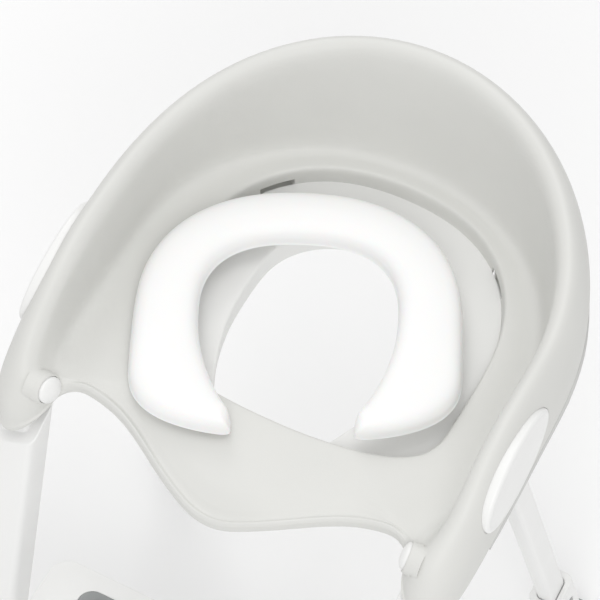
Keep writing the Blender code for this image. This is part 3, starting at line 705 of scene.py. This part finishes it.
def build_seat_shell(finish):
    """The bowl, its rolled rim, the arms and the front lip, with latches and button collars."""
    beads = [0.0] * 14 + [0.6] + [1.0] * 5 + [0.5] + [0.0] * len(LIP)
    sections = [shell_section(edge, features, 2) for edge, features in shell_stations()]
    rows = [with_hem(section, bead) for section, bead in zip(sections, beads, strict=True)]
    mesh = mesh_from(thickened(rows, WALL, 6), "shell", sharp=None)
    shell = piece("seat_shell_skin", mesh, finish, seat_point(0, 0, 0))
    half = shell.modifiers.new("other_half", "MIRROR")
    half.merge_threshold = 0.0001
    subdivided(shell)
    tools = []
    for side in SIDES:
        for size, centre, operation in LATCH_POCKET:
            body = box(size, centre)
            bmesh.ops.rotate(body, verts=body.verts, matrix=LATCH_TURN)
            bmesh.ops.translate(body, verts=body.verts, vec=LATCH_AT)
            tools.append(cutter(shell, body, seat_point(0, 0, 0), side=side, operation=operation))
        for collar in button_collars():
            tools.append(cutter(shell, collar, seat_point(0, *FRONT_PIVOT), side=side, operation="UNION"))
        hole = turned_x(((135, BUTTON_HOLE_RADIUS), (166, BUTTON_HOLE_RADIUS)))
        tools.append(cutter(shell, hole, seat_point(0, *FRONT_PIVOT), side=side))
        socket = oval_body(((-12.0, -GAP, 0.0), (8.0, -GAP, 0.0)))
        tools.append(cutter(shell, socket, seat_point(0, 0, 0), side=side))
    applied(shell, tools)
    shell.data.set_sharp_from_angle(angle=math.radians(50))
    settle(shell, "seat", "shell_plastic", "seat_shell")


# ---------------------------------------------------------------- seat ring


def build_seat_ring(finish):
    """The plate round the opening, with a skirt that hangs into the opening and two snap tabs."""
    rows = []
    inset = 0.9
    for degrees in SIDE_DEGREES:
        inner = polar_superellipse(*OPENING_HALF, degrees) + OPENING_MIDDLE
        rows.append((recess_back(degrees, inset), inner))
    for y in (-25, -45):
        rows.append((Vector((RECESS_HALF - inset, y, 0)), Vector((hole_half_width(y + 16), y + 16, 0))))
    fronts = ((0, -44), (4.5, -55), (9, -66), (15.5, -77), (23.5, -86), (31, -95), (37, -102.4))
    for corner, y in fronts:
        rows.append((recess_front(corner, inset), Vector((hole_half_width(y), y, 0))))
    made = []
    for outer, inner in rows:
        back = (outer - inner).normalized()
        down = Vector((0, 0, -1))
        made.append([
            outer, outer - back * 0.8, mixed(outer, inner, 0.5), inner + back * 4.5,
            inner + back * 1.6 + down * 0.25, inner + back * 0.3 + down * 1.3, inner + down * 3.4,
            inner + back * 1.0 + down * 14.0, inner + back * 2.4 + down * 26.0,
            inner + back * 2.5 + down * 27.0,
        ])
    bm = bmesh.new()
    grid(bm, made)
    for vert in bm.verts:
        if vert.co.x < 0.01:
            vert.co.x = 0.0
    ring = piece("seat_ring_skin", mesh_from(bm, "ring", sharp=None), finish, seat_point(0, 0, 0))
    half = ring.modifiers.new("other_half", "MIRROR")
    half.merge_threshold = 0.0001
    wall = ring.modifiers.new("wall", "SOLIDIFY")
    wall.thickness = 2.6 * MM
    wall.offset = -1.0
    wall.use_even_offset = True
    crease_borders(ring.data)
    subdivided(ring)
    tools = []
    for side in SIDES:
        tab = box((20, 8, 2.0), (0, -1.5, -1.6))
        bmesh.ops.rotate(tab, verts=tab.verts, matrix=LATCH_TURN)
        bmesh.ops.translate(tab, verts=tab.verts, vec=TAB_AT)
        tools.append(cutter(ring, tab, seat_point(0, 0, 0), side=side, operation="UNION"))
    applied(ring, tools)
    ring.data.set_sharp_from_angle(angle=math.radians(50))
    settle(ring, "seat", "ring_plastic", "seat_ring")


def crease_borders(mesh):
    """Keep the open ends of a strip where they are when it is subdivided."""
    bm = bmesh.new()
    bm.from_mesh(mesh)
    layer = bm.edges.layers.float.new("crease_edge")
    for edge in bm.edges:
        if len(edge.link_faces) == 1 and max(abs(vert.co.x) for vert in edge.verts) > 1e-5:
            edge[layer] = 0.8
    bm.to_mesh(mesh)
    bm.free()


# ---------------------------------------------------------------- cushion


# The cushion's tips: how far each ring goes on, how much narrower it gets, and its highest point.
TIP_ROUNDING = (
    (-4.5, 0.0, 20.9), (-1.2, 0.02, 19.4), (2.0, 0.07, 17.0),
    (4.2, 0.16, 13.0), (5.4, 0.26, 8.5), (5.7, 0.31, 6.5),
)

# Where the pad is narrower than this, the rounding of its sides shrinks with its width.
FULL_WIDTH = 40.0


def cushion_outline(inset=0.0):
    """The horseshoe as (outer, inner) pairs from the left tip round the back to the right tip."""
    half = []
    for degrees in SIDE_DEGREES:
        outer = polar_superellipse(123.5 - inset, 113.0 - inset, 2.3, degrees) + Vector((0, -5, 0))
        half.append((outer, polar_superellipse(74.5 + inset, 64.5 + inset, 2.6, degrees)))
    for degrees, y in ((0, -15), (6, -30), (14, -46), (24, -62), (36, -77), (48, -87)):
        outer = polar_superellipse(123.5 - inset, 58.0 - inset, 3.0, -degrees) + Vector((0, -50, 0))
        inner = Vector((74.5 + inset - 32.5 * (max(-y, 0) / 98.0) ** 1.95, y, 0))
        half.append((outer, inner))
    other = [(Vector((-a.x, a.y, 0)), Vector((-b.x, b.y, 0))) for a, b in half[:0:-1]]
    return other + half


def rounded_tips(rings):
    """Carry the last ring on to a tip that is rounded in plan and over its top edge."""
    last, before = rings[-1], rings[-2]
    middle = sum(last, Vector()) / len(last)
    tips = []
    for advance, narrower, ceiling in TIP_ROUNDING:
        tip = []
        for point, previous in zip(last, before):
            onward = Vector((point.x - previous.x, point.y - previous.y, 0)).normalized()
            eased = mixed(point, Vector((middle.x, middle.y, point.z)), narrower)
            tip.append(Vector((eased.x, eased.y, min(point.z, ceiling))) + onward * advance)
        tips.append(tip)
    return [*rings[:-1], *tips]


def build_cushion_pad(finish):
    """Moulded foam: a thin parting lip round its foot, rounded sides and a crowned top."""
    side_profile = (
        (0.0, 3.0), (0.0, 4.1), (0.8, 4.6), (0.8, 8.0), (1.2, 12.0), (3.6, 16.6), (8.5, 19.4), (15.5, 20.6),
    )
    rings = []
    for outer, inner in cushion_outline():
        across = (inner - outer).normalized() * min((inner - outer).length / FULL_WIDTH, 1.0)
        ring = [outer + across * away + Vector((0, 0, z)) for away, z in side_profile]
        ring.append(mixed(outer, inner, 0.5) + Vector((0, 0, 21.2)))
        ring += [inner - across * away + Vector((0, 0, z)) for away, z in side_profile[::-1]]
        ring.append(mixed(outer, inner, 0.5) + Vector((0, 0, 3.0)))
        rings.append(ring)
    rings = rounded_tips(rings[::-1])
    rings = rounded_tips(rings[::-1])
    bm = loft(rings)
    pad = piece(
        "cushion_pad_skin", mesh_from(bm, "cushion", sharp=None), finish,
        seat_point(*CUSHION_AT, CUSHION_FOOT_Z), turn=CUSHION_TURN,
    )
    subdivided(pad)
    applied(pad)
    settle(pad, "cushion", "cushion_foam", "cushion_pad")


def build_cushion_base(finish):
    """The thin plate that the foam is moulded on, a little smaller than the pad."""
    up = Vector((0, 0, BASE_THICKNESS))
    rings = [[outer, outer + up, inner + up, inner] for outer, inner in cushion_outline(6.0)[1:-1]]
    base = piece(
        "cushion_base_skin", mesh_from(loft(rings), "cushion_base", sharp=None), finish,
        seat_point(*CUSHION_AT, CUSHION_FOOT_Z), turn=CUSHION_TURN,
    )
    rounded_edges(base, 0.5, 2)
    applied(base)
    settle(base, "cushion", "white_plastic", "cushion_base")


# ---------------------------------------------------------------- arm covers, caps and buttons


def oval_body(profile):
    """An oval body across the flank, from (out, less, deeper) rings: less shrinks the oval,
    and deeper takes its upper edge further into the arm."""
    rings = []
    for out, less, deeper in profile:
        turns = [math.tau * i / 96 for i in range(96)]
        rings.append([
            Vector((
                out - deeper * max(math.sin(turn), 0.0),
                (CAP_HALF_LENGTH - less) * math.cos(turn), (CAP_HALF_HEIGHT - less) * math.sin(turn),
            ))
            for turn in turns
        ])
    bm = loft(rings)
    lean_in = Matrix.Rotation(math.radians(CAP_LEAN_IN), 3, "Y")
    slope = Matrix.Rotation(math.radians(CAP_SLOPE), 3, "X")
    bmesh.ops.rotate(bm, verts=bm.verts, matrix=lean_in @ slope)
    bmesh.ops.translate(bm, verts=bm.verts, vec=CAP_AT)
    return bm


def build_pivot_cap(side, finish):
    """An oval cap with a bright bevelled rim and a face that is very slightly hollow."""
    skirt = ((-1.8, 16.0, 0.0), (-1.8, 2.8, 0.0), (-3.8, 2.4, 3.0), (-3.8, 0.0, 3.0))
    rim = (
        (0.6, 0.0, 0.0), (1.3, 0.15, 0.0), (2.0, 0.6, 0.0), (2.7, 1.5, 0.0), (3.1, 2.8, 0.0), (3.2, 3.6, 0.0),
    )
    face = ((3.05, 4.3, 0.0), (2.7, 4.9, 0.0), (2.6, 6.0, 0.0), (2.6, 18.0, 0.0))
    mesh = mesh_from(oval_body(skirt + rim + face), "cap", side, 60.0)
    cap = piece(side_name("pivot_cap_skin", side), mesh, finish, seat_point(0, 0, 0))
    settle(cap, "seat", "white_plastic", side_name("pivot_cap", side))


def build_arm_cover(side, finish):
    """The strip that closes the underside of an arm, with a slot for the rear strut."""
    feet = [(Vector((RIM_R, y, 0)), Vector((1, 0, 0))) for y in range(-122, -9, 8)]
    for degrees in range(4, 33, 4):
        outward = Vector((math.cos(math.radians(degrees)), math.sin(math.radians(degrees)), 0))
        feet.append((outward * RIM_R + Vector((0, BOWL_Y, 0)), outward))
    rows = []
    for foot, outward in feet:
        top = hem_height(foot.y) - 1.0
        low = top - mixed(5.0, 8.0, smooth((foot.y + 122.0) / 22.0))
        corners = ((1.6, top), (24.2, top), (FLANK_OUT - 0.6, top - 1.2), (FLANK_OUT - 0.6, low), (1.6, low))
        rows.append([foot + outward * offset + Vector((0, 0, z)) for offset, z in corners])
    name = side_name("arm_cover_skin", side)
    cover = piece(name, mesh_from(loft(rows), name, side), finish, seat_point(0, 0, 0))
    slot = rounded_bar(19.0, 68.0, 40.0, -20.0, 0.0, 4.0)
    bmesh.ops.translate(slot, verts=slot.verts, vec=(REAR_LEG_X, -49.5, 0.0))
    tools = [cutter(cover, slot, seat_point(0, 0, 0), side=side)]
    rounded_edges(cover, 0.7, 2)
    applied(cover, tools)
    settle(cover, "seat", "cover_plastic", side_name("arm_cover", side))


def build_fold_button(side, finish):
    """A domed round button whose face leans as the arm's wall does."""
    steps = [math.radians(degrees) for degrees in range(6, 91, 7)]
    dome = [(143.4 + 4.4 * (1 - math.cos(turn)) ** 0.9, BUTTON_RADIUS * math.sin(turn)) for turn in steps]
    edge = ((148.6, BUTTON_RADIUS), (152.6, BUTTON_RADIUS), (153.0, BUTTON_RADIUS - 0.4))
    name = side_name("fold_button_skin", side)
    mesh = mesh_from(sheared(turned_x((*dome, *edge)), 151.0), name, side)
    button = piece(name, mesh, finish, seat_point(0, *FRONT_PIVOT))
    settle(button, side_name("fold_release", side), "white_plastic", side_name("fold_button", side))


# ---------------------------------------------------------------- legs and feet


def leg_length(pivot, lean):
    """From a pivot to the floor, along a leaning leg."""
    return (pivot[1] + SEAT_HEIGHT) / math.cos(math.radians(lean))


def sliced(bm, place, normal, keep_inner):
    """Cut a body with a plane and close it again."""
    made = bmesh.ops.bisect_plane(
        bm, geom=[*bm.verts, *bm.edges, *bm.faces], plane_co=place, plane_no=normal,
        clear_outer=keep_inner, clear_inner=not keep_inner,
    )
    edges = [item for item in made["geom_cut"] if isinstance(item, bmesh.types.BMEdge)]
    bmesh.ops.contextual_create(bm, geom=edges)
    bmesh.ops.recalc_face_normals(bm, faces=bm.faces)


def flat_end(bm, lean, length):
    """Cut a leaning leg off level, just above its foot."""
    direction = Vector((0, math.sin(math.radians(lean)), math.cos(math.radians(lean))))
    rise = (FOOT_HEIGHT + GAP) / math.cos(math.radians(lean))
    sliced(bm, (0, 0, rise - length), direction, False)


def build_front_leg(side, finish):
    """The wide upright with a slanted, rounded collar below the arm's nose."""
    place = seat_point(0, *FRONT_PIVOT)
    tube = rounded_bar(FRONT_WIDTH, FRONT_DEPTH, -16.0, -FRONT_TUBE_END, FRONT_LEG_X, 7.0)
    slope = Vector((0.35, -0.86, 1.0)).normalized()
    sliced(tube, (FRONT_LEG_X - 20, 0, -33.0), slope, True)
    leg = piece(side_name("front_leg_skin", side), mesh_from(tube, "leg", side), finish, place, -FRONT_LEAN)
    walls = 2 * LEG_WALL
    hollow = rounded_bar(FRONT_WIDTH - walls, FRONT_DEPTH - walls, -74.0, -500.0, FRONT_LEG_X, 4.0)
    hole = turned_x(((186.8, LOCK_HOLE_RADIUS), (192.0, LOCK_HOLE_RADIUS)), 48)
    bmesh.ops.translate(hole, verts=hole.verts, vec=(0, 0, -FRONT_LOCK_DOWN))
    tools = [cutter(leg, hollow, place, -FRONT_LEAN, side), cutter(leg, hole, place, -FRONT_LEAN, side)]
    rounded_edges(leg, 1.6, 4)
    applied(leg, tools)
    neck = rounded_bar(24.4, 17.0, -9.0, -70.0, FRONT_LEG_X + 0.8, 4.0)
    head = turned_x(((FRONT_LEG_X - 7.7, PIVOT_RADIUS), (FRONT_LEG_X + 11.1, PIVOT_RADIUS)))
    add_parts(leg, side, neck, head)
    settle(leg, "front_ladder", "white_plastic", side_name("front_leg", side))

    length = leg_length(FRONT_PIVOT, FRONT_LEAN)
    trim = 2 * (LEG_WALL + GAP)
    bar = rounded_bar(FRONT_WIDTH - trim, FRONT_DEPTH - trim, -300.0, -length - 10, FRONT_LEG_X, 3.6)
    flat_end(bar, -FRONT_LEAN, length)
    name = side_name("front_leg_extension_skin", side)
    bar = piece(name, mesh_from(bar, name, side), finish, place, -FRONT_LEAN)
    rounded_edges(bar, 0.8, 2)
    applied(bar)
    settle(bar, side_name("front_extension", side), "white_plastic", side_name("front_leg_extension", side))


def add_parts(obj, side, *bodies):
    """Add further closed bodies, given in the same frame, to a piece's mesh."""
    bm = bmesh.new()
    bm.from_mesh(obj.data)
    for body in bodies:
        mesh = mesh_from(body, "part", side)
        bm.from_mesh(mesh)
        bpy.data.meshes.remove(mesh)
    bm.to_mesh(obj.data)
    bm.free()


def build_rear_leg(side, finish):
    """The slim strut behind the ladder, and the sleeve that slides on it."""
    place = seat_point(0, *REAR_PIVOT)
    half = REAR_WIDTH / 2
    bar = rounded_bar(REAR_WIDTH, REAR_DEPTH, 0.0, -REAR_TUBE_END, REAR_LEG_X, 4.0)
    leg = piece(side_name("rear_leg_skin", side), mesh_from(bar, "strut", side), finish, place, REAR_LEAN)
    rounded_edges(leg, 0.6, 2)
    applied(leg)
    top = turned_x(((REAR_LEG_X - half, REAR_DEPTH / 2), (REAR_LEG_X + half, REAR_DEPTH / 2)))
    add_parts(leg, side, top)
    settle(leg, side_name("rear_strut", side), "white_plastic", side_name("rear_leg", side))

    length = leg_length(REAR_PIVOT, REAR_LEAN)
    bar = rounded_bar(27.0, 34.0, -SLEEVE_TOP, -length - 20, REAR_LEG_X, 7.0)
    flat_end(bar, REAR_LEAN, length)
    name = side_name("rear_leg_sleeve_skin", side)
    sleeve = piece(name, mesh_from(bar, name, side), finish, place, REAR_LEAN)
    hollow = rounded_bar(
        REAR_WIDTH + 2 * GAP, REAR_DEPTH + 2 * GAP, -300.0, -REAR_TUBE_END - 3, REAR_LEG_X, 4.0 + GAP,
    )
    hole = turned_x(((187.0, LOCK_HOLE_RADIUS), (196.0, LOCK_HOLE_RADIUS)), 48)
    bmesh.ops.translate(hole, verts=hole.verts, vec=(0, 0, -REAR_LOCK_DOWN))
    tools = [cutter(sleeve, hollow, place, REAR_LEAN, side), cutter(sleeve, hole, place, REAR_LEAN, side)]
    rounded_edges(sleeve, 1.6, 3)
    applied(sleeve, tools)
    settle(sleeve, side_name("rear_sleeve", side), "white_plastic", side_name("rear_leg_sleeve", side))


# A foot's sides as (height, inset) pairs: a rolled lower edge, two grooves and a rolled upper edge.
FOOT_PROFILE = (
    (0.0, 1.0), (0.6, 0.3), (1.6, 0.0), (4.4, 0.0), (5.0, 0.8), (6.0, 0.8), (6.6, 0.0),
    (8.4, 0.0), (9.0, 0.8), (10.0, 0.8), (10.6, 0.0), (15.6, 0.0), (17.2, 0.5), (18.0, 1.8),
)


def build_foot(stem, side, size, body, finish):
    """A rubber shoe with a rolled upper edge and grooves round its sides."""
    low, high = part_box(side_name(stem, side))
    centre = (low + high) / 2
    at = Vector((centre.x, centre.y, 0))
    radius = 8.0
    rings = []
    for z, inset in FOOT_PROFILE:
        ring = []
        for quarter, (sx, sy) in enumerate(((1, 1), (-1, 1), (-1, -1), (1, -1))):
            for i in range(9):
                turn = math.radians(90 * quarter + 90 * i / 8)
                corner = Vector((sx * (size[0] / 2 - radius), sy * (size[1] / 2 - radius), z))
                ring.append(corner + Vector((math.cos(turn), math.sin(turn), 0)) * (radius - inset))
        rings.append(ring)
    foot = piece(side_name(stem + "_skin", side), mesh_from(loft(rings), "foot"), finish, at)
    settle(foot, body, "grey_rubber", side_name(stem, side))


# ---------------------------------------------------------------- step


def build_step(plastic, grip):
    """A tray-like step with a rolled border, and a grip mat with raised ribs."""
    lean = math.radians(FRONT_LEAN)
    pivot_y, pivot_z = FRONT_PIVOT
    at = seat_point(0, pivot_y - STEP_ALONG * math.sin(lean), pivot_z - STEP_ALONG * math.cos(lean))
    body = rounded_bar(2 * STEP_HALF, STEP_DEPTH, 0.0, -STEP_THICKNESS, 0.0, 16.0)
    tread = piece("step_tread_skin", mesh_from(body, "tread"), plastic, at)
    under = rounded_bar(2 * STEP_HALF - 8, STEP_DEPTH - 8, -4.0, -STEP_THICKNESS - 5, 0.0, 12.5)
    seat = rounded_bar(232.0, 88.0, 5.0, -1.2, 0.0, 12.0)
    tools = [cutter(tread, under, at), cutter(tread, seat, at)]
    rounded_edges(tread, 2.2, 4)
    applied(tread, tools)
    settle(tread, "front_ladder", "white_plastic", "step_tread")

    mat = rounded_bar(231.2, 87.2, 0.5, -0.9, 0.0, 11.6)
    mat = piece("step_grip_skin", mesh_from(mat, "mat"), grip, at)
    rounded_edges(mat, 0.3, 2)
    applied(mat)
    ribs = []
    for k in range(STEP_RIBS):
        rib = rounded_bar(206.0, 3.6, 1.4, 0.2, 0.0, 1.7, 6)
        bmesh.ops.translate(rib, verts=rib.verts, vec=(0, -36.0 + STEP_RIB_PITCH * k, 0))
        ribs.append(rib)
    add_parts(mat, 1, *ribs)
    settle(mat, "front_ladder", "grey_rubber", "step_grip")


# ---------------------------------------------------------------- assembly


def paint_cad_nodes(finishes):
    """Give every CAD node that still shows a finished material."""
    for name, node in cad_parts.items():
        for stem, finish in finishes.items():
            if name.startswith(stem):
                for material_slot in node.material_slots:
                    material_slot.link = "OBJECT"
                    material_slot.material = finish


def build():
    shell = moulded("shell_moulded", (0.68, 0.68, 0.655), 0.5, 1300.0, 0.00009)
    ring = moulded("ring_moulded", (0.80, 0.80, 0.785), 0.45, 1500.0, 0.00006)
    cover = moulded("cover_moulded", (0.60, 0.60, 0.585), 0.5, 1300.0, 0.00008)
    white = moulded("white_moulded", (0.84, 0.84, 0.83), 0.34, 1700.0, 0.00003, 0.008)
    grey = moulded("grey_moulded", (0.42, 0.43, 0.43), 0.42, 1500.0, 0.00005)
    skin, tread_rubber, metal = foam_skin(), rubber(), steel()

    build_camera()
    build_studio()
    build_seat_shell(shell)
    build_seat_ring(ring)
    build_cushion_pad(skin)
    build_cushion_base(white)
    build_step(white, tread_rubber)
    for side in SIDES:
        build_arm_cover(side, cover)
        build_pivot_cap(side, white)
        build_fold_button(side, white)
        build_front_leg(side, white)
        build_rear_leg(side, white)
        build_foot("front_foot", side, (44.0, 40.0), side_name("front_extension", side), tread_rubber)
        build_foot("rear_foot", side, (30.0, 42.0), side_name("rear_sleeve", side), tread_rubber)
    paint_cad_nodes({
        "button_spring": metal, "front_pivot_pin": metal, "rear_pivot_pin": metal,
        "step_screw": metal, "rim_pad": tread_rubber, "front_lock_button": grey, "rear_lock_button": grey,
    })


build()
